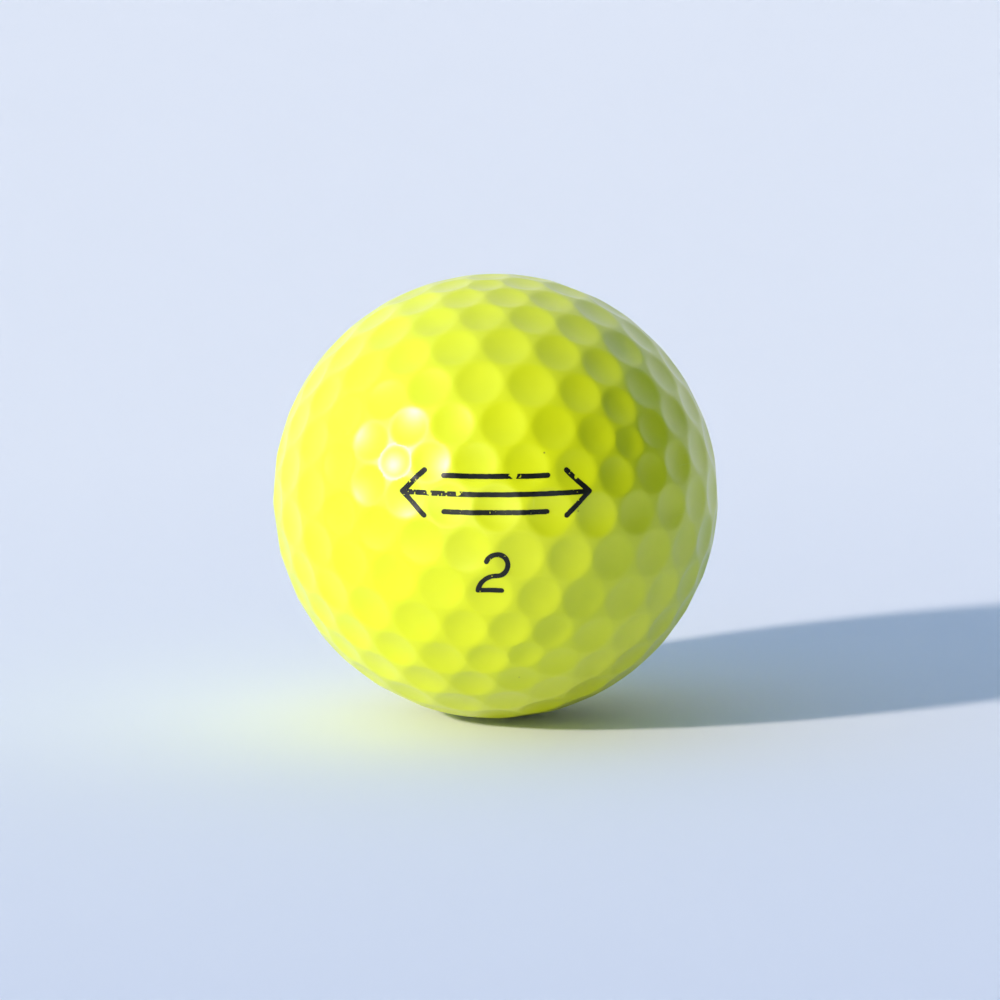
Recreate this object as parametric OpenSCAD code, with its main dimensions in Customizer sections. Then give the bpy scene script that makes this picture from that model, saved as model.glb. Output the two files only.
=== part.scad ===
// Four-layer golf ball: a rubber inner core, an outer core, a thin hard casing and a dimpled cover,
// with a play number and an alignment mark printed on both sides.
// Origin at the ball's centre, +Z up, the front print faces -Y.

/* [Ball] */
// Diameter over the lands between the dimples
ball_d = 42.67; // [42.67:0.01:43.20]
// Thickness of the dimpled cover
cover_t = 0.8; // [0.6:0.05:1.4]
// Thickness of the hard casing under the cover
casing_t = 0.9; // [0.6:0.05:1.4]
// Diameter of the soft inner core
inner_core_d = 25.4; // [18:0.1:32]

/* [Dimples] */
// Width of the land left between two dimples, on average
land_w = 0.45; // [0.30:0.05:0.80]
// Angle between the ball's surface and the dimple's wall at its rim
edge_angle = 14.5; // [12:0.5:18]
// Step in which dimple diameters are made
dimple_step = 0.1; // [0.05:0.05:0.20]
// Angle to the right of the front at which the pattern's first corner stands
pattern_turn = -28; // [-90:1:90]
// Angle above the equator at which the pattern's first corner stands
pattern_rise = 18; // [-60:1:60]
// Turn of the pattern about its first corner
pattern_spin = 34; // [0:1:71]

/* [Print] */
// Width of the printed strokes
stroke_w = 0.48; // [0.40:0.02:0.80]
// Thickness of the ink
ink_t = 0.03; // [0.02:0.01:0.05]
// Height of the play number over its strokes
number_h = 4.1; // [3.0:0.1:5.0]
// Width of the play number over its strokes
number_w = 3.3; // [2.8:0.1:4.0]
// Middle of the play number, below the ball's middle
number_drop = 3.5; // [3.4:0.1:9]
// How far the play number stands to the right of the ball's middle
number_shift = -0.3; // [-1:0.1:1]
// Length of the alignment mark over its arrow tips
mark_l = 18.2; // [12:0.1:20]
// Height of the alignment mark over its arrow barbs
mark_h = 4.7; // [3.5:0.1:5.2]
// Middle of the alignment mark, above the ball's middle
mark_rise = 4.0; // [3.9:0.1:6]

/* [Hidden] */
FINE = 240;
$fn = FINE;
ball_r = ball_d / 2;
casing_r = ball_r - cover_t;
outer_core_r = casing_r - casing_t;
inner_core_r = inner_core_d / 2;
FRONT = -1;
REAR = 1;

// The dimples stand on a triangular lattice laid on the faces of an icosahedron. Corner to corner it
// goes LATTICE_B steps along a row and LATTICE_C steps to the side, which makes 312 dimples.
LATTICE_B = 5;
LATTICE_C = 1;
LATTICE_T = LATTICE_B * LATTICE_B + LATTICE_B * LATTICE_C + LATTICE_C * LATTICE_C;
// Two dimples closer than this, on a ball of radius 1, are neighbours
NEIGHBOUR_REACH = 0.265;
// How far a dimple's middle may lie to the side of the print and still reach under it
PRINT_MARGIN = 3;
// How much wider than its dimple a cutting plug is, how far it stands over the dimple's floor, and
// how many sides it turns in
PLUG_MARGIN = 0.03;
PLUG_H = 0.8;
PLUG_SIDES = 64;

// The figure two, in shares of its height: the bowl's radius, and the neck's radius against the room
// under the bowl. In shares of its width: how far right of the middle the bowl stands, and the foot.
BOWL_R = 0.255;
NECK_R = 1.19;
BOWL_X = 0.13;
FOOT_L = 0.68;
// Angles at which the bowl starts and ends, and at which the neck takes over
BOWL_FROM = 160;
BOWL_TO = -90;
NECK_FROM = 97;
// Straight runs in the bowl and the neck
BOWL_STEPS = 25;
NECK_STEPS = 11;
CAP_STEPS = 10;
// How far a cap's first point stands from the side of its stroke, in degrees
CAP_STEP = 15;

// Length of the two shorter lines of the alignment mark, as a share of the whole mark, and their
// height, as a share of the barbs'
SIDE_LINE_L = 0.54;
SIDE_LINE_Z = 0.8;

RING_Z = 1 / sqrt(5);
RING_R = 2 * RING_Z;

function around(z, r, a) = [r * cos(a), r * sin(a), z];

CORNERS = concat(
    [[0, 0, 1]],
    [for (i = [0:4]) around(RING_Z, RING_R, 72 * i)],
    [for (i = [0:4]) around(-RING_Z, RING_R, 72 * i + 36)],
    [[0, 0, -1]]
);

FACES = concat(
    [for (i = [0:4]) [0, 1 + i, 1 + (i + 1) % 5]],
    [for (i = [0:4]) [1 + i, 6 + i, 1 + (i + 1) % 5]],
    [for (i = [0:4]) [6 + i, 6 + (i + 1) % 5, 1 + (i + 1) % 5]],
    [for (i = [0:4]) [11, 6 + (i + 1) % 5, 6 + i]]
);

function unit(v) = v / norm(v);

// Lattice points inside one face, as shares of its two sides that start at the first corner
function shares() = [
    for (i = [-LATTICE_C:LATTICE_B], j = [0:LATTICE_B + LATTICE_C])
        let (
            s = (i * (LATTICE_B + LATTICE_C) + j * LATTICE_C) / LATTICE_T,
            t = (j * LATTICE_B - i * LATTICE_C) / LATTICE_T
        )
        if (s > 0 && t > 0 && s + t < 1) [s, t]
];

SHARES = shares();

function face_points(f) = [
    for (st = SHARES)
        unit(CORNERS[f[0]] * (1 - st[0] - st[1]) + CORNERS[f[1]] * st[0] + CORNERS[f[2]] * st[1])
];

function turn_z(v, a) = [v.x * cos(a) - v.y * sin(a), v.x * sin(a) + v.y * cos(a), v.z];
function turn_y(v, a) = [v.x * cos(a) + v.z * sin(a), v.y, v.z * cos(a) - v.x * sin(a)];
function place(v) = turn_z(turn_y(turn_z(v, pattern_spin), 90 - pattern_rise), pattern_turn - 90);

function mean(list) = list * [for (x = list) 1] / len(list);
function spacing(p, all) = mean([
    for (q = all) let (gap = norm(q - p)) if (gap > 0 && gap < NEIGHBOUR_REACH) gap
]);
function to_step(x) = round(x / dimple_step) * dimple_step;

DIRECTIONS = [
    for (p = concat(CORNERS, [for (f = FACES) each face_points(f)])) place(p)
];

// Each dimple is [direction, diameter]: it fills the room its neighbours leave, less the land
DIMPLES = [
    for (p = DIRECTIONS) [p, to_step(spacing(p, DIRECTIONS) * ball_r - land_w)]
];

// Each sphere that cuts a dimple is [distance of its centre from the ball's centre, radius]
function cutter(d) =
    let (
        rim = asin(d / 2 / ball_r),
        slope = edge_angle - rim,
        r = d / 2 / sin(slope)
    )
    [ball_r * cos(rim) + r * cos(slope), r];

// Plugs that cut the dimples: each is a slice of a sphere, turned about its dimple's axis, and no
// wider than its own dimple needs, so that no two of them meet. raised lifts every dimple's floor.
module dimple_cuts(dimples, raised = 0) {
    for (d = dimples) {
        c = cutter(d[1]);
        rotate([0, acos(d[0].z), atan2(d[0].y, d[0].x)]) translate([0, 0, c[0]])
            rotate_extrude($fn = PLUG_SIDES)
                intersection() {
                    circle(c[1] - raised, $fn = FINE);
                    translate([0, -c[1] - 1]) square([d[1] / 2 + PLUG_MARGIN, 1 + PLUG_H]);
                }
    }
}

// One moulded half of a hollow ball, with its flat rim on the parting plane
module half_shell(outer_r, inner_r, side) {
    difference() {
        sphere(outer_r);
        sphere(inner_r);
        translate([-outer_r - 1, side == FRONT ? 0 : -2 * outer_r - 2, -outer_r - 1])
            cube(2 * outer_r + 2);
    }
}

module half_cover(side) {
    dimples = [for (d = DIMPLES) if (d[0].y * side * ball_r > -d[1] / 2 - PLUG_MARGIN) d];
    color([0.87, 0.95, 0.16])
        difference() {
            half_shell(ball_r, casing_r, side);
            dimple_cuts(dimples);
        }
}

module half_casing(side) {
    color([0.93, 0.95, 0.80]) half_shell(casing_r, outer_core_r, side);
}

module half_outer_core(side) {
    color([0.20, 0.42, 0.62]) half_shell(outer_core_r, inner_core_r, side);
}

module inner_core() {
    color([0.80, 0.36, 0.20]) sphere(inner_core_r);
}

// A straight stroke with round ends, in the plane of the print
module stroke(a, b) {
    run = b - a;
    translate(a) rotate(atan2(run.y, run.x)) translate([0, -stroke_w / 2]) square([norm(run), stroke_w]);
    for (p = [a, b]) translate(p) circle(d = stroke_w);
}

function polar(r, a) = r * [cos(a), sin(a)];
function arc(c, r, from, to, n) = [for (i = [0:n]) c + polar(r, from + (to - from) * i / n)];

// Direction of a path at its point i
function heading(path, i) =
    let (run = path[min(i + 1, len(path) - 1)] - path[max(i - 1, 0)]) atan2(run.y, run.x);

// Outline of a smooth path as wide as a stroke, round at its start and cut square at its end
function pen_outline(path) =
    let (last = len(path) - 1, r = stroke_w / 2, start = heading(path, 0))
    concat(
        [for (i = [0:last]) path[i] + polar(r, heading(path, i) - 90)],
        [for (i = [last:-1:0]) path[i] + polar(r, heading(path, i) + 90)],
        arc(path[0], r, start + 90 + CAP_STEP, start + 270 - CAP_STEP, CAP_STEPS)
    );

// A figure two: a round bowl, a neck that curves back under it, and a flat foot
module figure_two() {
    bowl_r = number_h * BOWL_R;
    bowl = [number_w * BOWL_X, number_h / 2 - stroke_w / 2 - bowl_r];
    foot_z = -number_h / 2 + stroke_w / 2;
    neck_top = bowl.y - bowl_r;
    neck_r = (neck_top - foot_z) * NECK_R;
    neck = [bowl.x, neck_top - neck_r];
    neck_end = 180 - asin((foot_z - neck.y) / neck_r);
    heel = neck + polar(neck_r, neck_end);
    polygon(pen_outline(concat(
        arc(bowl, bowl_r, BOWL_FROM, BOWL_TO, BOWL_STEPS),
        arc(neck, neck_r, NECK_FROM, neck_end, NECK_STEPS)
    )));
    stroke(heel, [heel.x + number_w * FOOT_L, foot_z]);
}

// A line with an arrow at each end, between two shorter lines
module alignment_lines() {
    tip = mark_l / 2 - stroke_w / 2;
    barb = mark_h / 2 - stroke_w / 2;
    side_line = mark_l * SIDE_LINE_L / 2;
    stroke([-tip, 0], [tip, 0]);
    for (s = [-1, 1]) {
        stroke([s * tip, 0], [s * (tip - barb), barb]);
        stroke([s * tip, 0], [s * (tip - barb), -barb]);
        stroke([-side_line, s * barb * SIDE_LINE_Z], [side_line, s * barb * SIDE_LINE_Z]);
    }
}

// A film of ink on the cover, down into the dimples under it, in the shape of its flat children
module print_on(side, middle_z, half_w, half_h) {
    near = [
        for (d = DIMPLES)
            if (d[0].y * side > 0 && abs(d[0].x * ball_r) < half_w + PRINT_MARGIN
                && abs(d[0].z * ball_r - middle_z) < half_h + PRINT_MARGIN) d
    ];
    color([0.03, 0.03, 0.03])
        difference() {
            intersection() {
                rotate(side == FRONT ? 0 : 180) translate([0, 0, middle_z])
                    rotate([90, 0, 0]) linear_extrude(2 * ball_r) children();
                difference() {
                    sphere(ball_r + ink_t);
                    dimple_cuts(near, ink_t);
                }
            }
            difference() {
                sphere(ball_r);
                dimple_cuts(near);
            }
        }
}

module play_number(side) {
    print_on(side, -number_drop, number_w / 2 + abs(number_shift), number_h / 2)
        translate([number_shift, 0]) figure_two();
}

module alignment_mark(side) {
    print_on(side, mark_rise, mark_l / 2, mark_h / 2) alignment_lines();
}

inner_core();
half_outer_core(FRONT);  // outer_core_front
half_outer_core(REAR);  // outer_core_rear
half_casing(FRONT);  // casing_front
half_casing(REAR);  // casing_rear
half_cover(FRONT);  // cover_front
half_cover(REAR);  // cover_rear
play_number(FRONT);  // play_number_front
play_number(REAR);  // play_number_rear
alignment_mark(FRONT);  // alignment_mark_front
alignment_mark(REAR);  // alignment_mark_rear
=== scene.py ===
import math

import bpy
import numpy as np
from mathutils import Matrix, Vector


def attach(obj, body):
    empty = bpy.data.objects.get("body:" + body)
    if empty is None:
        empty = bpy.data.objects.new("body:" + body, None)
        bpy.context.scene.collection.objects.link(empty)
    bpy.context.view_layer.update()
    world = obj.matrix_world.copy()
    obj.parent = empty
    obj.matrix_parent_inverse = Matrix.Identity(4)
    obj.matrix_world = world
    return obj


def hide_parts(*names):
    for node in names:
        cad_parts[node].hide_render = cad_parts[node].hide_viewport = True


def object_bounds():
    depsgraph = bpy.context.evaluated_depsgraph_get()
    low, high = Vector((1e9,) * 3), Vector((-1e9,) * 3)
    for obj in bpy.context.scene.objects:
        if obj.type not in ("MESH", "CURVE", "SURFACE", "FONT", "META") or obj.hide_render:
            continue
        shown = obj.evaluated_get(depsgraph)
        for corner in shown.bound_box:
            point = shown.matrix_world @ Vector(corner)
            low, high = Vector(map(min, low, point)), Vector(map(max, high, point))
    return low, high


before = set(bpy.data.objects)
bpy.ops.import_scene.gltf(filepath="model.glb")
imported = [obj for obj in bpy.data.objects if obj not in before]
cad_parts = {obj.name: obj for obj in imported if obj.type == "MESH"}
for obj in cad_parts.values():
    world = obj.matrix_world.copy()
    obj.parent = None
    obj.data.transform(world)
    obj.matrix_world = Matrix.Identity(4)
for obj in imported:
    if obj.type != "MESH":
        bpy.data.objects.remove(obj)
cad_lo, cad_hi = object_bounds()

MM = 0.001
TINY = 1e-9
ROOT = "root"
FRONT, REAR = -1, 1


# ---------------------------------------------------------------- sizes, as the CAD has them, in mm
def reach(node):
    """Distance from the ball's centre to the farthest vertex of a CAD node."""
    co = np.array([v.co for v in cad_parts[node].data.vertices], float)
    return float(np.sqrt((co ** 2).sum(1)).max()) / MM


BALL_R = reach("cover_front")
CASING_R = reach("casing_front")
LAND_W = 0.45
EDGE_ANGLE = math.radians(14.5)
DIMPLE_STEP = 0.1
PATTERN_TURN = math.radians(-28)
PATTERN_RISE = math.radians(18)
PATTERN_SPIN = math.radians(34)
LATTICE_B, LATTICE_C = 5, 1
NEIGHBOUR_REACH = 0.265

STROKE_W = 0.48
NUMBER_H, NUMBER_W, NUMBER_DROP, NUMBER_SHIFT = 4.1, 3.3, 3.5, -0.3
MARK_L, MARK_H, MARK_RISE = 18.2, 4.7, 4.0

# the figure two, in shares of its height and its width, and in degrees
BOWL_R, NECK_R, BOWL_X, FOOT_L = 0.255, 1.19, 0.13, 0.68
BOWL_FROM, BOWL_TO, NECK_FROM = 160, -90, 97
BOWL_STEPS, NECK_STEPS = 25, 11
# the two shorter lines of the mark, in shares of the whole mark's length and of its barbs' height
SIDE_LINE_L, SIDE_LINE_Z = 0.54, 0.8


# ---------------------------------------------------------------- the dimple pattern
def unit(v):
    return v / np.linalg.norm(v, axis=-1, keepdims=True)


def turned(v, about, a):
    """Points v turned about the Y or Z axis."""
    x, y, z = v[..., 0], v[..., 1], v[..., 2]
    c, s = math.cos(a), math.sin(a)
    if about == "Z":
        return np.stack([x * c - y * s, x * s + y * c, z], -1)
    return np.stack([x * c + z * s, y, z * c - x * s], -1)


def lattice():
    """Directions of the dimples: a triangular lattice on the faces of an icosahedron."""
    ring_z, ring_r = 1 / math.sqrt(5), 2 / math.sqrt(5)

    def around(z, r, degrees):
        a = math.radians(degrees)
        return [r * math.cos(a), r * math.sin(a), z]

    corners = [[0, 0, 1]]
    corners += [around(ring_z, ring_r, 72 * i) for i in range(5)]
    corners += [around(-ring_z, ring_r, 72 * i + 36) for i in range(5)]
    corners += [[0, 0, -1]]
    corners = np.array(corners, float)
    faces = []
    for i in range(5):
        k = (i + 1) % 5
        faces += [(0, 1 + i, 1 + k), (1 + i, 6 + i, 1 + k), (6 + i, 6 + k, 1 + k), (11, 6 + k, 6 + i)]
    b, c = LATTICE_B, LATTICE_C
    t_all = b * b + b * c + c * c
    shares = []
    for i in range(-c, b + 1):
        for j in range(b + c + 1):
            s, t = (i * (b + c) + j * c) / t_all, (j * b - i * c) / t_all
            if s > TINY and t > TINY and s + t < 1 - TINY:
                shares.append((s, t))
    points = list(corners)
    for f in faces:
        for s, t in shares:
            points.append(unit(corners[f[0]] * (1 - s - t) + corners[f[1]] * s + corners[f[2]] * t))
    p = turned(np.array(points), "Z", PATTERN_SPIN)
    p = turned(p, "Y", math.pi / 2 - PATTERN_RISE)
    return turned(p, "Z", PATTERN_TURN - math.pi / 2)


def cutting_spheres(directions):
    """Radius of the sphere that cuts each dimple, and how far its centre is from the ball's centre."""
    gap = np.linalg.norm(directions[:, None] - directions[None], axis=2)
    near = (gap > 0) & (gap < NEIGHBOUR_REACH)
    spacing = (gap * near).sum(1) / near.sum(1)
    diameter = np.round((spacing * BALL_R - LAND_W) / DIMPLE_STEP) * DIMPLE_STEP
    rim = np.arcsin(diameter / 2 / BALL_R)
    radius = diameter / 2 / np.sin(EDGE_ANGLE - rim)
    return radius, BALL_R * np.cos(rim) + radius * np.cos(EDGE_ANGLE - rim)


DIRS = lattice()
CUT_R, CUT_C = cutting_spheres(DIRS)
RIM_ROUND = 0.08      # depth over which a dimple's rim is rounded
BATCH = 20000         # directions worked out at a time
NEAREST = 3           # dimples that can reach one direction


def height(p):
    """Radius of the cover, in mm, along each unit direction in p, with the rims of the dimples rounded."""
    out = np.empty(len(p))
    for k in range(0, len(p), BATCH):
        q = p[k:k + BATCH]
        cosines = q @ DIRS.T
        near = np.argpartition(-cosines, NEAREST, axis=1)[:, :NEAREST]
        cosine = np.take_along_axis(cosines, near, 1)
        c, r = CUT_C[near], CUT_R[near]
        under = r * r - c * c * (1 - cosine * cosine)
        floor = np.where(under > 0, c * cosine - np.sqrt(np.maximum(under, 0)), BALL_R + 1)
        floor = floor.min(1)
        blend = np.maximum(RIM_ROUND - np.abs(floor - BALL_R), 0) / RIM_ROUND
        out[k:k + BATCH] = np.minimum(floor, BALL_R) - blend * blend * RIM_ROUND / 4
    return out


def surface(p, lift=0.0):
    """Points on the cover along the directions p, lifted by lift mm, and the cover's normals there."""
    p = unit(p)
    h = height(p)
    step = 2e-4
    side = unit(np.cross(p, np.where(np.abs(p[:, 2:3]) < 0.9, [[0, 0, 1.0]], [[1.0, 0, 0]])))
    up = np.cross(p, side)

    def at(q):
        q = unit(q)
        return q * height(q)[:, None]

    along = at(p + side * step) - at(p - side * step)
    across = at(p + up * step) - at(p - up * step)
    n = unit(np.cross(along, across))
    n *= np.sign((n * p).sum(1, keepdims=True))
    return p * (h + lift)[:, None], n


# ---------------------------------------------------------------- mesh helpers
def make_object(name, points, faces, normals=None):
    """A mesh object from points in mm; normals, if given, is one normal per face corner."""
    mesh = bpy.data.meshes.new(name)
    mesh.from_pydata([tuple(v) for v in (np.asarray(points) * MM).tolist()], [], faces)
    mesh.polygons.foreach_set("use_smooth", [True] * len(mesh.polygons))
    mesh.validate()
    if normals is not None:
        mesh.normals_split_custom_set(normals)
    mesh.update()
    obj = bpy.data.objects.new(name, mesh)
    bpy.context.scene.collection.objects.link(obj)
    return obj


def octant_sphere(n, side):
    """Directions and triangles of half a sphere, on the side of y that side names.
    Its rim lies on y = 0, and index finds a point by its whole-number place on the octahedron."""
    index, dirs, faces = {}, [], []

    def vertex(a, b, c):
        key = (a, b, c)
        if key not in index:
            index[key] = len(dirs)
            dirs.append(key)
        return index[key]

    for sx in (1, -1):
        for sz in (1, -1):
            flip = sx * sz * side < 0
            for i in range(n):
                for j in range(n - i):
                    k = n - i - j
                    a = vertex(sx * i, side * j, sz * k)
                    b = vertex(sx * (i + 1), side * j, sz * (k - 1))
                    c = vertex(sx * i, side * (j + 1), sz * (k - 1))
                    faces.append((a, c, b) if flip else (a, b, c))
                    if k > 1:
                        d = vertex(sx * (i + 1), side * (j + 1), sz * (k - 2))
                        faces.append((b, c, d) if flip else (b, d, c))
    share = np.array(dirs, float) / n
    return unit(np.sin(share * math.pi / 2)), faces, index


def rim_order(index, n):
    """Indices of the vertices on y = 0, in order round the rim."""
    ring = []
    for q, (sx, sz) in enumerate(((1, 1), (1, -1), (-1, -1), (-1, 1))):
        for i in range(n):
            a, c = (i, n - i) if q % 2 == 0 else (n - i, i)
            ring.append(index[(sx * a, 0, sz * c)])
    return ring


def cover_half(name, side, n, m):
    """One half of the cover as a closed shell: dimpled outside, plain inside, flat rim between."""
    dirs, faces, index = octant_sphere(n, side)
    outer, normals = surface(dirs)
    in_dirs, in_faces, in_index = octant_sphere(m, side)
    inner = in_dirs * CASING_R
    shift = len(outer)
    points = np.vstack([outer, inner])
    corner_normals = [normals[v] for f in faces for v in f]
    all_faces = list(faces)
    for f in in_faces:
        f = f[::-1]
        all_faces.append(tuple(shift + v for v in f))
        corner_normals += [-in_dirs[v] for v in f]
    ring, in_ring = rim_order(index, n), rim_order(in_index, m)
    per = n // m
    flat = np.array([0, -side, 0], float)
    # the rim: one flat face for each edge of the inside, fanned out to the finer outside
    for k in range(4 * m):
        face = [ring[(k * per + i) % (4 * n)] for i in range(per + 1)]
        face += [shift + in_ring[(k + 1) % (4 * m)], shift + in_ring[k]]
        a, b, c = points[face[0]], points[face[per]], points[face[per + 1]]
        if np.dot(np.cross(b - a, c - a), flat) < 0:
            face = face[::-1]
        all_faces.append(tuple(face))
        corner_normals += [flat] * len(face)
    return make_object(name, points, all_faces, np.array(corner_normals))


# ---------------------------------------------------------------- the print
NOISE_CELLS = 63
NOISE_START = 20.0    # cell at which the middle of the print lies


def noise_2d(x, z, scale, seed):
    """Smooth noise from 0 to 1 with features of about scale mm."""
    grid = np.random.default_rng(seed).random((NOISE_CELLS + 1, NOISE_CELLS + 1))
    u, v = x / scale + NOISE_START, z / scale + NOISE_START
    i, j = np.floor(u).astype(int), np.floor(v).astype(int)
    fu, fv = u - i, v - j
    fu, fv = fu * fu * (3 - 2 * fu), fv * fv * (3 - 2 * fv)
    i, j = i % NOISE_CELLS, j % NOISE_CELLS
    low = grid[i, j] * (1 - fu) + grid[i + 1, j] * fu
    high = grid[i, j + 1] * (1 - fu) + grid[i + 1, j + 1] * fu
    return low * (1 - fv) + high * fv


def path_distance(x, z, paths):
    """Distance in mm from each point to the nearest of the paths, which are lists of (x, z)."""
    best = np.full(x.shape, np.inf)
    for path in paths:
        for (ax, az), (bx, bz) in zip(path[:-1], path[1:]):
            dx, dz = bx - ax, bz - az
            t = np.clip(((x - ax) * dx + (z - az) * dz) / (dx * dx + dz * dz), 0, 1)
            best = np.minimum(best, np.hypot(x - ax - t * dx, z - az - t * dz))
    return best


def arc(c, r, start, end, n):
    """Points of an arc about c, from the angle start to the angle end in n steps."""
    angles = np.radians(np.linspace(start, end, n + 1))
    return [(c[0] + r * math.cos(a), c[1] + r * math.sin(a)) for a in angles]


def figure_two():
    """The path of a figure two: a round bowl, a neck that curves back under it, and a flat foot."""
    bowl_r = NUMBER_H * BOWL_R
    bowl = (NUMBER_W * BOWL_X, NUMBER_H / 2 - STROKE_W / 2 - bowl_r)
    foot_z = -NUMBER_H / 2 + STROKE_W / 2
    neck_top = bowl[1] - bowl_r
    neck_r = (neck_top - foot_z) * NECK_R
    neck = (bowl[0], neck_top - neck_r)
    neck_end = 180 - math.degrees(math.asin((foot_z - neck[1]) / neck_r))
    path = arc(bowl, bowl_r, BOWL_FROM, BOWL_TO, BOWL_STEPS)
    path += arc(neck, neck_r, NECK_FROM, neck_end, NECK_STEPS)
    path.append((path[-1][0] + NUMBER_W * FOOT_L, foot_z))
    return [[(x + NUMBER_SHIFT, z) for x, z in path]]


def alignment_lines():
    """The paths of a line with an arrow at each end, between two shorter lines."""
    tip = MARK_L / 2 - STROKE_W / 2
    barb = MARK_H / 2 - STROKE_W / 2
    side_line = MARK_L * SIDE_LINE_L / 2
    paths = [[(-tip, 0), (tip, 0)]]
    for s in (-1, 1):
        paths.append([(s * (tip - barb), barb), (s * tip, 0), (s * (tip - barb), -barb)])
        paths.append([(-side_line, s * barb * SIDE_LINE_Z), (side_line, s * barb * SIDE_LINE_Z)])
    return paths


INK_STEP = 0.05       # grid of the ink film, in mm
INK_MARGIN = 0.2      # how far the grid reaches past the strokes, in mm
INK_TOP, INK_BOTTOM = 0.014, -0.05
CUT_END = 0.08        # the least share of a grid line on either side of the ink's edge


def filled_outline(field, xs, zs):
    """Points (x, z) and faces that fill the part of a grid in which the field is under 0."""
    found, points, faces = {}, [], []
    inside = field < 0

    def vertex(key, x, z):
        if key not in found:
            found[key] = len(points)
            points.append((x, z))
        return found[key]

    def grid_point(corner):
        return vertex(corner, xs[corner[0]], zs[corner[1]])

    def crossing(i, j, i2, j2):
        a, b = field[i, j], field[i2, j2]
        t = min(max(a / (a - b), CUT_END), 1 - CUT_END)
        key = ((i, j), (i2, j2)) if (i, j) < (i2, j2) else ((i2, j2), (i, j))
        return vertex(key, xs[i] + (xs[i2] - xs[i]) * t, zs[j] + (zs[j2] - zs[j]) * t)

    active = inside[:-1, :-1] | inside[1:, :-1] | inside[1:, 1:] | inside[:-1, 1:]
    for i, j in zip(*np.nonzero(active)):
        corners = [(i, j), (i + 1, j), (i + 1, j + 1), (i, j + 1)]
        loop = []
        for k in range(4):
            a, b = corners[k], corners[(k + 1) % 4]
            if inside[a]:
                loop.append(grid_point(a))
            if inside[a] != inside[b]:
                loop.append(crossing(*a, *b))
        diagonal = inside[corners[0]] == inside[corners[2]] and inside[corners[1]] == inside[corners[3]]
        if diagonal and inside[corners[0]] != inside[corners[1]]:
            # two opposite corners are in: keep them as two triangles
            first = 0 if inside[corners[0]] else 1
            for k in (first, first + 2):
                a, before, after = corners[k], corners[(k + 3) % 4], corners[(k + 1) % 4]
                faces.append([crossing(*before, *a), grid_point(a), crossing(*a, *after)])
        else:
            faces.append(loop)
    return np.array(points), faces


def ink_field(x, z, paths, seed, worn_from):
    """Under 0 where there is ink: along the paths, but not where a noise from 0 to 1 is over worn_from,
    nor in fine grain round such places."""
    strokes = path_distance(x, z, paths) - STROKE_W / 2
    strokes += (noise_2d(x, z, 0.3, seed) - 0.5) * 0.03
    worn = noise_2d(x, z, 1.9, seed + 1) * 0.62 + noise_2d(x, z, 0.45, seed + 2) * 0.38
    chips = (worn - worn_from) * 1.6
    grain = (noise_2d(x, z, 0.16, seed + 3) - 0.90) * 0.5 + (worn - 0.55) * 0.25
    return np.maximum(strokes, np.maximum(chips, grain))


def ink_film(name, paths, side, middle_z, half_w, half_h, seed, worn_from):
    """A closed film of ink on the cover in the shape of the paths, with worn and chipped places."""
    xs = np.arange(-half_w - INK_MARGIN, half_w + INK_MARGIN + INK_STEP, INK_STEP)
    zs = np.arange(-half_h - INK_MARGIN, half_h + INK_MARGIN + INK_STEP, INK_STEP)
    gx, gz = np.meshgrid(xs, zs, indexing="ij")
    flat, faces = filled_outline(ink_field(gx, gz, paths, seed, worn_from), xs, zs)

    x, z = flat[:, 0], flat[:, 1] + middle_z
    y = -np.sqrt(BALL_R ** 2 - x * x - z * z)
    dirs = np.stack([x, y, z], -1)
    if side == REAR:
        dirs = dirs * [-1, -1, 1]
    top, normals = surface(dirs, INK_TOP)
    bottom, _ = surface(dirs, INK_BOTTOM)
    count = len(top)
    points = np.vstack([top, bottom])
    all_faces, corner_normals = [], []
    edges = {}        # keeps the edges in order, as a set would not
    for f in faces:
        all_faces.append(tuple(f))
        corner_normals += [normals[v] for v in f]
        for a, b in zip(f, f[1:] + f[:1]):
            edges[(a, b)] = True
    for f in faces:
        all_faces.append(tuple(count + v for v in f[::-1]))
        corner_normals += [-normals[v] for v in f[::-1]]
    for a, b in edges:
        if (b, a) in edges:
            continue
        wall = (a, count + a, count + b, b)
        n = np.cross(points[wall[1]] - points[wall[0]], points[wall[3]] - points[wall[0]])
        all_faces.append(wall)
        corner_normals += [n / max(np.linalg.norm(n), TINY)] * 4
    return make_object(name, points, all_faces, np.array(corner_normals))


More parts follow.
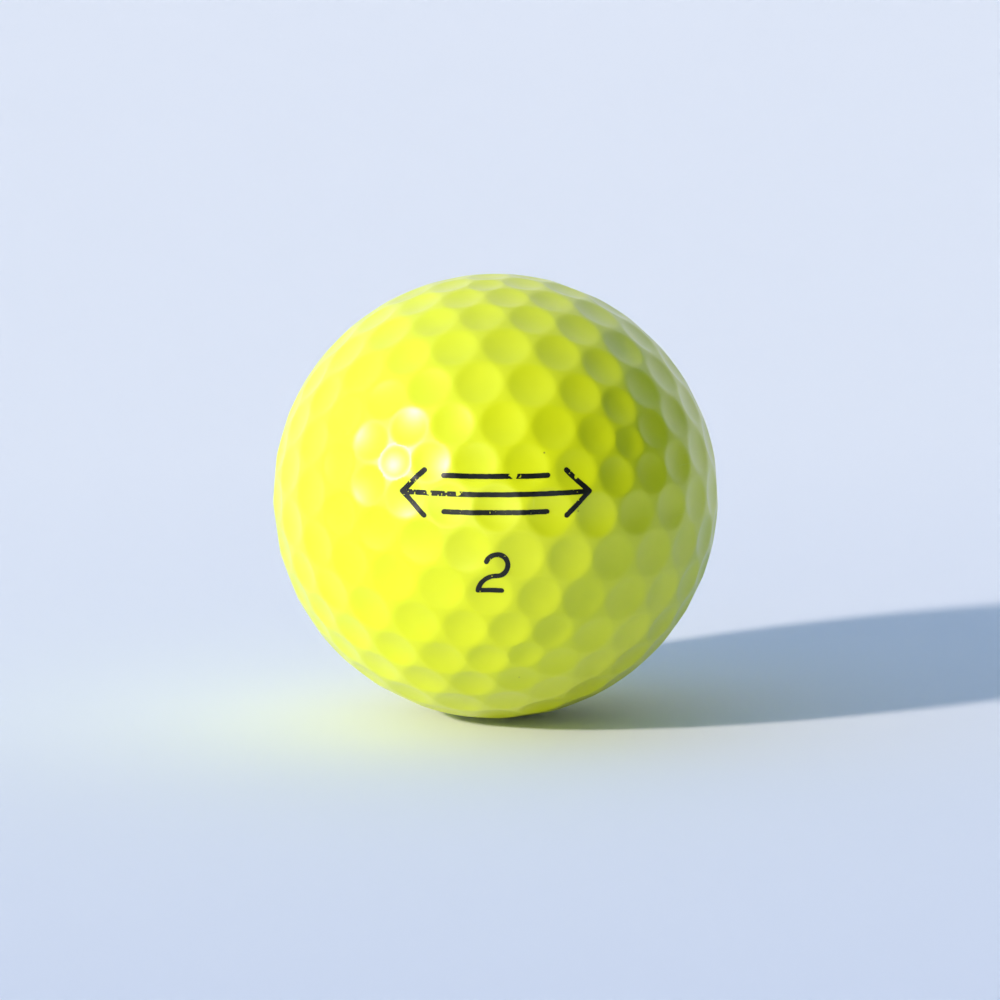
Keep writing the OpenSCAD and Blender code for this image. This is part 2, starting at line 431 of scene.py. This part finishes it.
# ---------------------------------------------------------------- materials
class Nodes:
    """Short calls for building one node material."""

    def __init__(self, name):
        self.mat = bpy.data.materials.new(name)
        self.mat.use_nodes = True
        self.tree = self.mat.node_tree
        self.shader = self.tree.nodes["Principled BSDF"]
        self.coords = self.tree.nodes.new("ShaderNodeTexCoord").outputs["Object"]

    def link(self, a, b):
        self.tree.links.new(a, b)

    def mapped(self, scale, turn):
        """The object's coordinates, scaled and turned."""
        node = self.tree.nodes.new("ShaderNodeMapping")
        node.inputs["Scale"].default_value = scale
        node.inputs["Rotation"].default_value = turn
        self.link(self.coords, node.inputs["Vector"])
        return node.outputs["Vector"]

    def noise(self, scale, detail=2.0, rough=0.5, vector=None):
        node = self.tree.nodes.new("ShaderNodeTexNoise")
        node.inputs["Scale"].default_value = scale
        node.inputs["Detail"].default_value = detail
        node.inputs["Roughness"].default_value = rough
        self.link(vector or self.coords, node.inputs["Vector"])
        return node.outputs["Fac"]

    def voronoi(self, scale, what="Distance"):
        node = self.tree.nodes.new("ShaderNodeTexVoronoi")
        node.inputs["Scale"].default_value = scale
        self.link(self.coords, node.inputs["Vector"])
        return node.outputs[what]

    def ramp(self, value, stops):
        """Maps a value through (position, colour or grey) stops."""
        node = self.tree.nodes.new("ShaderNodeValToRGB")
        elements = node.color_ramp.elements
        while len(elements) < len(stops):
            elements.new(0.5)
        for element, (position, colour) in zip(elements, stops):
            element.position = position
            element.color = (*colour, 1) if hasattr(colour, "__len__") else (colour, colour, colour, 1)
        self.link(value, node.inputs["Fac"])
        return node.outputs["Color"]

    def axes(self):
        """The object's X, Y and Z coordinates, apart."""
        node = self.tree.nodes.new("ShaderNodeSeparateXYZ")
        self.link(self.coords, node.inputs[0])
        return node.outputs

    def math(self, op, a, b=0.0):
        node = self.tree.nodes.new("ShaderNodeMath")
        node.operation = op
        for socket, value in zip(node.inputs, (a, b)):
            if isinstance(value, (int, float)):
                socket.default_value = value
            else:
                self.link(value, socket)
        return node.outputs[0]

    def mix(self, factor, a, b):
        node = self.tree.nodes.new("ShaderNodeMix")
        node.data_type = "RGBA"
        for name, value in (("Factor_Float", factor), ("A_Color", a), ("B_Color", b)):
            socket = next(s for s in node.inputs if s.identifier == name)
            if isinstance(value, (int, float)):
                socket.default_value = value
            elif isinstance(value, tuple):
                socket.default_value = (*value, 1)
            else:
                self.link(value, socket)
        return next(s for s in node.outputs if s.identifier == "Result_Color")

    def bump(self, value, strength, distance, normal=None):
        node = self.tree.nodes.new("ShaderNodeBump")
        node.inputs["Strength"].default_value = strength
        node.inputs["Distance"].default_value = distance
        self.link(value, node.inputs["Height"])
        if normal is not None:
            self.link(normal, node.inputs["Normal"])
        return node.outputs["Normal"]

    def set(self, **values):
        for name, value in values.items():
            self.shader.inputs[name.replace("_", " ")].default_value = value

    def feed(self, name, value):
        self.link(value, self.shader.inputs[name])


def cover_material():
    """Optic-yellow urethane under a clear coat, with specks, scuffs and fine scratches."""
    m = Nodes("optic_yellow_cover")
    tone = m.ramp(m.noise(140, 3.0), [(0.35, (0.65, 0.725, 0.0)), (0.65, (0.71, 0.785, 0.0))])
    # sparse dark specks of dirt
    pick = m.ramp(m.voronoi(210, "Color"), [(0.66, 0.0), (0.69, 1.0)])
    spot = m.ramp(m.voronoi(210), [(0.012, 1.0), (0.026, 0.0)])
    specks = m.math("MULTIPLY", spot, pick)
    # hair-fine scratches in two directions
    along_a, along_b = m.mapped((60, 60, 2600), (0.5, 0.3, 0.2)), m.mapped((2400, 70, 70), (0.2, 0.6, 0.9))
    lines_a = m.ramp(m.noise(1.0, 1.0, vector=along_a), [(0.72, 0.0), (0.75, 1.0)])
    lines_b = m.ramp(m.noise(1.0, 1.0, vector=along_b), [(0.73, 0.0), (0.76, 1.0)])
    where = m.ramp(m.noise(160, 2.0), [(0.60, 0.0), (0.68, 1.0)])
    scratches = m.math("MULTIPLY", m.math("MAXIMUM", lines_a, lines_b), where)
    colour = m.mix(m.math("MULTIPLY", specks, 0.75), tone, (0.16, 0.17, 0.02))
    colour = m.mix(m.math("MULTIPLY", scratches, 0.08), colour, (0.86, 0.90, 0.35))
    m.feed("Base Color", colour)
    scuffs = m.ramp(m.noise(260, 4.0, 0.6), [(0.45, 0.40), (0.70, 0.52)])
    m.feed("Roughness", m.math("ADD", scuffs, m.math("MULTIPLY", scratches, 0.15)))
    peel = m.bump(m.noise(1500, 2.0), 0.10, 0.00004)
    fine = m.bump(m.noise(6000, 2.0), 0.06, 0.00001, peel)
    m.feed("Normal", m.bump(scratches, 0.25, 0.000008, fine))
    # no light is lost inside at the parting plane, where the two halves are fused
    from_seam = m.math("MULTIPLY", m.math("ABSOLUTE", m.axes()["Y"]), 200.0)
    m.feed("Subsurface Weight", m.ramp(from_seam, [(0.16, 0.0), (0.50, 0.40)]))
    m.set(Subsurface_Scale=0.0006, IOR=1.5, Specular_Tint=(1.0, 1.0, 0.35, 1.0),
          Coat_Weight=0.9, Coat_Roughness=0.35, Coat_IOR=1.5)
    m.shader.inputs["Subsurface Radius"].default_value = (1.0, 1.0, 0.15)
    return m.mat


def ink_material():
    """Black pad-printing ink."""
    m = Nodes("black_ink")
    m.feed("Base Color", m.ramp(m.noise(900, 3.0), [(0.35, (0.003, 0.004, 0.003)),
                                                    (0.75, (0.012, 0.014, 0.008))]))
    m.feed("Roughness", m.ramp(m.noise(1600, 2.0), [(0.3, 0.28), (0.7, 0.45)]))
    m.feed("Normal", m.bump(m.noise(5000, 2.0), 0.15, 0.00001))
    m.set(IOR=1.38, Coat_Weight=0.1, Coat_Roughness=0.2)
    return m.mat


def rubber_material(name, dark, light, grain, rough):
    """Moulded rubber: mottled colour, fine mineral filler, matt."""
    m = Nodes(name)
    base = m.ramp(m.noise(grain, 4.0), [(0.35, dark), (0.65, light)])
    filler = m.ramp(m.voronoi(grain * 9), [(0.10, 1.0), (0.22, 0.0)])
    m.feed("Base Color", m.mix(m.math("MULTIPLY", filler, 0.25), base, (0.85, 0.85, 0.80)))
    m.feed("Roughness", m.ramp(m.noise(grain * 4, 3.0), [(0.3, rough - 0.1), (0.7, rough + 0.1)]))
    m.feed("Normal", m.bump(m.noise(grain * 12, 3.0), 0.3, 0.00005))
    return m.mat


def casing_material():
    """Pale, slightly translucent ionomer."""
    m = Nodes("pale_ionomer")
    m.feed("Base Color", m.ramp(m.noise(180, 3.0), [(0.35, (0.80, 0.83, 0.62)), (0.65, (0.88, 0.90, 0.74))]))
    m.feed("Roughness", m.ramp(m.noise(700, 3.0), [(0.3, 0.38), (0.7, 0.52)]))
    m.feed("Normal", m.bump(m.noise(2500, 2.0), 0.15, 0.00002))
    m.set(Subsurface_Weight=0.15, Subsurface_Scale=0.0008)
    return m.mat


# ---------------------------------------------------------------- the pieces
def add_piece(obj, node, material):
    """Gives a piece its material and puts it in the place of its CAD node."""
    obj.data.materials.append(material)
    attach(obj, ROOT)
    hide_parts(node)


# rows of points on an eighth of the cover, outside and inside
COVER_N = 200
COVER_M = COVER_N // 5
# what the noise in the print starts from, and the share of it above which the ink is worn away
NUMBER_SEED, NUMBER_WORN = 11, 0.90
MARK_SEED, MARK_WORN = 41, 0.79

yellow = cover_material()
black = ink_material()
for side, word in ((FRONT, "front"), (REAR, "rear")):
    cover = cover_half(f"cover_{word}_dimpled", side, COVER_N, COVER_M)
    add_piece(cover, f"cover_{word}", yellow)
    number = ink_film(f"play_number_{word}_ink", figure_two(), side, -NUMBER_DROP,
                      NUMBER_W / 2 + abs(NUMBER_SHIFT), NUMBER_H / 2, NUMBER_SEED + side, NUMBER_WORN)
    add_piece(number, f"play_number_{word}", black)
    mark = ink_film(f"alignment_mark_{word}_ink", alignment_lines(), side, MARK_RISE,
                    MARK_L / 2, MARK_H / 2, MARK_SEED + side, MARK_WORN)
    add_piece(mark, f"alignment_mark_{word}", black)

inner = rubber_material("inner_core_rubber", (0.50, 0.13, 0.05), (0.68, 0.22, 0.09), 150, 0.75)
outer = rubber_material("outer_core_rubber", (0.07, 0.22, 0.38), (0.12, 0.31, 0.50), 170, 0.70)
casing = casing_material()
for node, material in (("inner_core", inner), ("outer_core_front", outer), ("outer_core_rear", outer),
                       ("casing_front", casing), ("casing_rear", casing)):
    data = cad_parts[node].data
    data.materials.clear()
    data.materials.append(material)


# ---------------------------------------------------------------- the stage
FLOOR_Z = cad_lo.z


def sweep_backdrop():
    """A pale floor that curves up into a wall behind the ball, in metres."""
    half, front, bend, radius, top = 3.0, -2.0, 0.9, 0.7, 2.6
    profile = [(front, 0.0), (bend, 0.0)]
    profile += [(bend + radius * math.sin(a), radius * (1 - math.cos(a)))
                for a in np.radians(np.linspace(3, 90, 30))]
    profile.append((bend + radius, top))
    points = [(x, y, FLOOR_Z + z) for y, z in profile for x in (-half, half)]
    faces = [(2 * k, 2 * k + 1, 2 * k + 3, 2 * k + 2) for k in range(len(profile) - 1)]
    obj = make_object("backdrop", np.array(points) / MM, faces)
    m = Nodes("backdrop_paper_painted_shade")
    # painted shade: the backdrop's colour is darker in front of the ball and on its right, standing in for
    # less light falling there
    place = m.axes()
    share = m.math("ADD", m.math("MULTIPLY", place["Y"], 2.0), 0.5)
    share = m.math("ADD", share, m.math("MULTIPLY", place["X"], -0.45))
    share = m.math("ADD", share, m.math("MULTIPLY", m.noise(6, 2.0), 0.04))
    m.feed("Base Color", m.ramp(share, [(0.24, (0.68, 0.735, 0.82)), (0.55, (0.765, 0.805, 0.86)),
                                        (0.80, (0.83, 0.86, 0.885))]))
    m.set(Roughness=0.85)
    m.shader.inputs["Specular IOR Level"].default_value = 0.2
    obj.data.materials.append(m.mat)
    return obj


sweep_backdrop()


def direction(turn, rise):
    """A unit vector turned from -X towards the front by turn degrees, and raised by rise degrees."""
    turn, rise = math.radians(turn), math.radians(rise)
    return Vector((-math.cos(rise) * math.cos(turn), -math.cos(rise) * math.sin(turn), math.sin(rise)))


def key_light():
    """A low sun from the left and the front."""
    data = bpy.data.lights.new("key", "SUN")
    data.angle = math.radians(4.6)
    data.energy = 3.72
    data.color = (1.0, 0.88, 0.80)
    key = bpy.data.objects.new("key", data)
    key.rotation_euler = direction(33.5, 24.5).to_track_quat("Z", "Y").to_euler()
    bpy.context.scene.collection.objects.link(key)


def low_reflector():
    """A soft white reflector that stands low in front of the ball, on its left."""
    data = bpy.data.lights.new("low_reflector", "AREA")
    data.shape = "RECTANGLE"
    data.size, data.size_y = 0.5, 0.12
    data.energy = 1.4
    data.color = (1.0, 1.0, 0.78)
    fill = bpy.data.objects.new("low_reflector", data)
    fill.location = (-0.25, -0.78, FLOOR_Z + 0.07)
    fill.rotation_euler = Vector(fill.location).to_track_quat("Z", "Y").to_euler()
    fill.visible_camera = False
    bpy.context.scene.collection.objects.link(fill)


def soft_room():
    """A pale blue room, brightest behind the ball on its left and dim behind the camera."""
    world = bpy.data.worlds.new("soft_room")
    world.use_nodes = True
    tree = world.node_tree
    coords = tree.nodes.new("ShaderNodeTexCoord")
    towards = tree.nodes.new("ShaderNodeVectorMath")
    towards.operation = "DOT_PRODUCT"
    towards.inputs[1].default_value = (-0.78, 0.52, 0.35)
    share = tree.nodes.new("ShaderNodeMath")
    share.operation = "MULTIPLY_ADD"
    share.inputs[1].default_value = 0.5
    share.inputs[2].default_value = 0.5
    ramp = tree.nodes.new("ShaderNodeValToRGB")
    ramp.color_ramp.elements[0].position = 0.28
    ramp.color_ramp.elements[0].color = (0.025, 0.045, 0.07, 1)
    ramp.color_ramp.elements[1].position = 0.85
    ramp.color_ramp.elements[1].color = (0.40, 0.66, 1.05, 1)
    tree.links.new(coords.outputs["Generated"], towards.inputs[0])
    tree.links.new(towards.outputs["Value"], share.inputs[0])
    tree.links.new(share.outputs[0], ramp.inputs["Fac"])
    tree.links.new(ramp.outputs["Color"], tree.nodes["Background"].inputs["Color"])
    bpy.context.scene.world = world


key_light()
low_reflector()
soft_room()
bpy.context.scene.view_settings.view_transform = "Standard"

# ---------------------------------------------------------------- the camera
CAMERA_TURN, CAMERA_RISE = 90, 10.5
CAMERA_FAR = 1.2
camera_data = bpy.data.cameras.new("camera")
camera_data.sensor_width = 36
camera_data.lens = 450.4
camera_data.shift_x = 0.0045
camera_data.shift_y = -0.004
camera = bpy.data.objects.new("camera", camera_data)
back = direction(CAMERA_TURN, CAMERA_RISE)
camera.location = back * CAMERA_FAR
camera.rotation_euler = back.to_track_quat("Z", "Y").to_euler()
bpy.context.scene.collection.objects.link(camera)
bpy.context.scene.camera = camera
